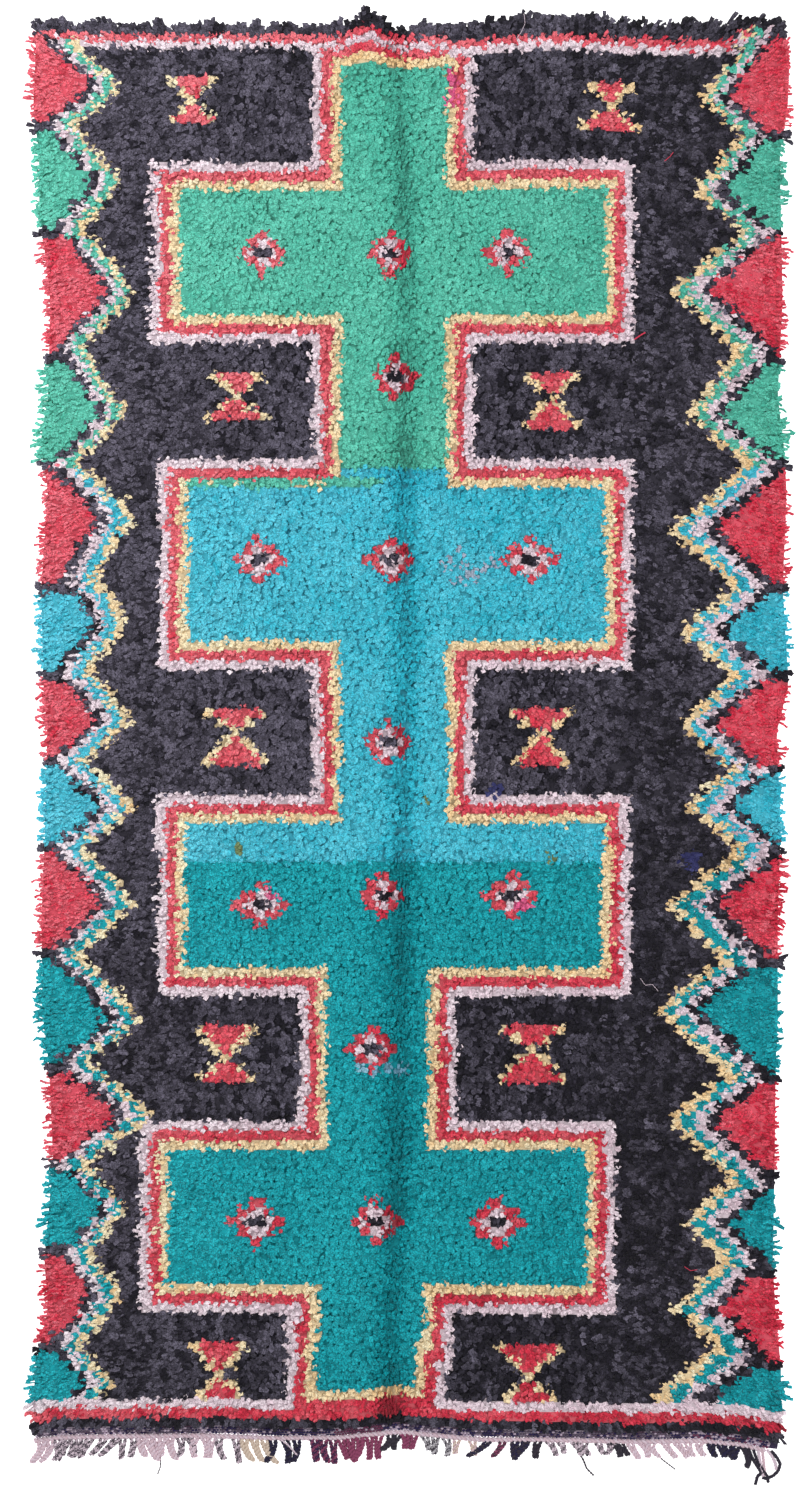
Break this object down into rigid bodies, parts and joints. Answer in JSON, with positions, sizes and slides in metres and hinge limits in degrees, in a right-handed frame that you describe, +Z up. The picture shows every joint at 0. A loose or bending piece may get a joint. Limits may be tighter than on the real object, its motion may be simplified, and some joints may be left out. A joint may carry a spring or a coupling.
{
  "type": "boucherouite rug",
  "caption": "Knotted rag-pile floor rug that lies flat: a lumpy slab of shag with tufts at its rim, a twined cord with a warp fringe at one end, and a knotted corner tassel.",
  "frame": {"origin": "on the floor, under the middle of the whole rug's box, fringe and tassel included", "axes": "+Z up out of the pile; +Y along the rug, from the fringed end to the plain end; +X across it, to the right when the fringed end is nearest"},
  "size_m": [1.3258, 2.5545, 0.0367],
  "materials": {
    "knotted_pile": "matt rag-strip pile, mostly charcoal, with green, blue, teal, red, yellow and lilac motifs",
    "twined_fringe": "matt lilac cotton cord and mixed warp ends",
    "corner_tassel": "matt black and lilac yarn"
  },
  "bodies": {
    "root": {"knotted_pile": "knotted_pile", "twined_fringe": "twined_fringe", "corner_tassel": "corner_tassel"}
  },
  "joints": []
}
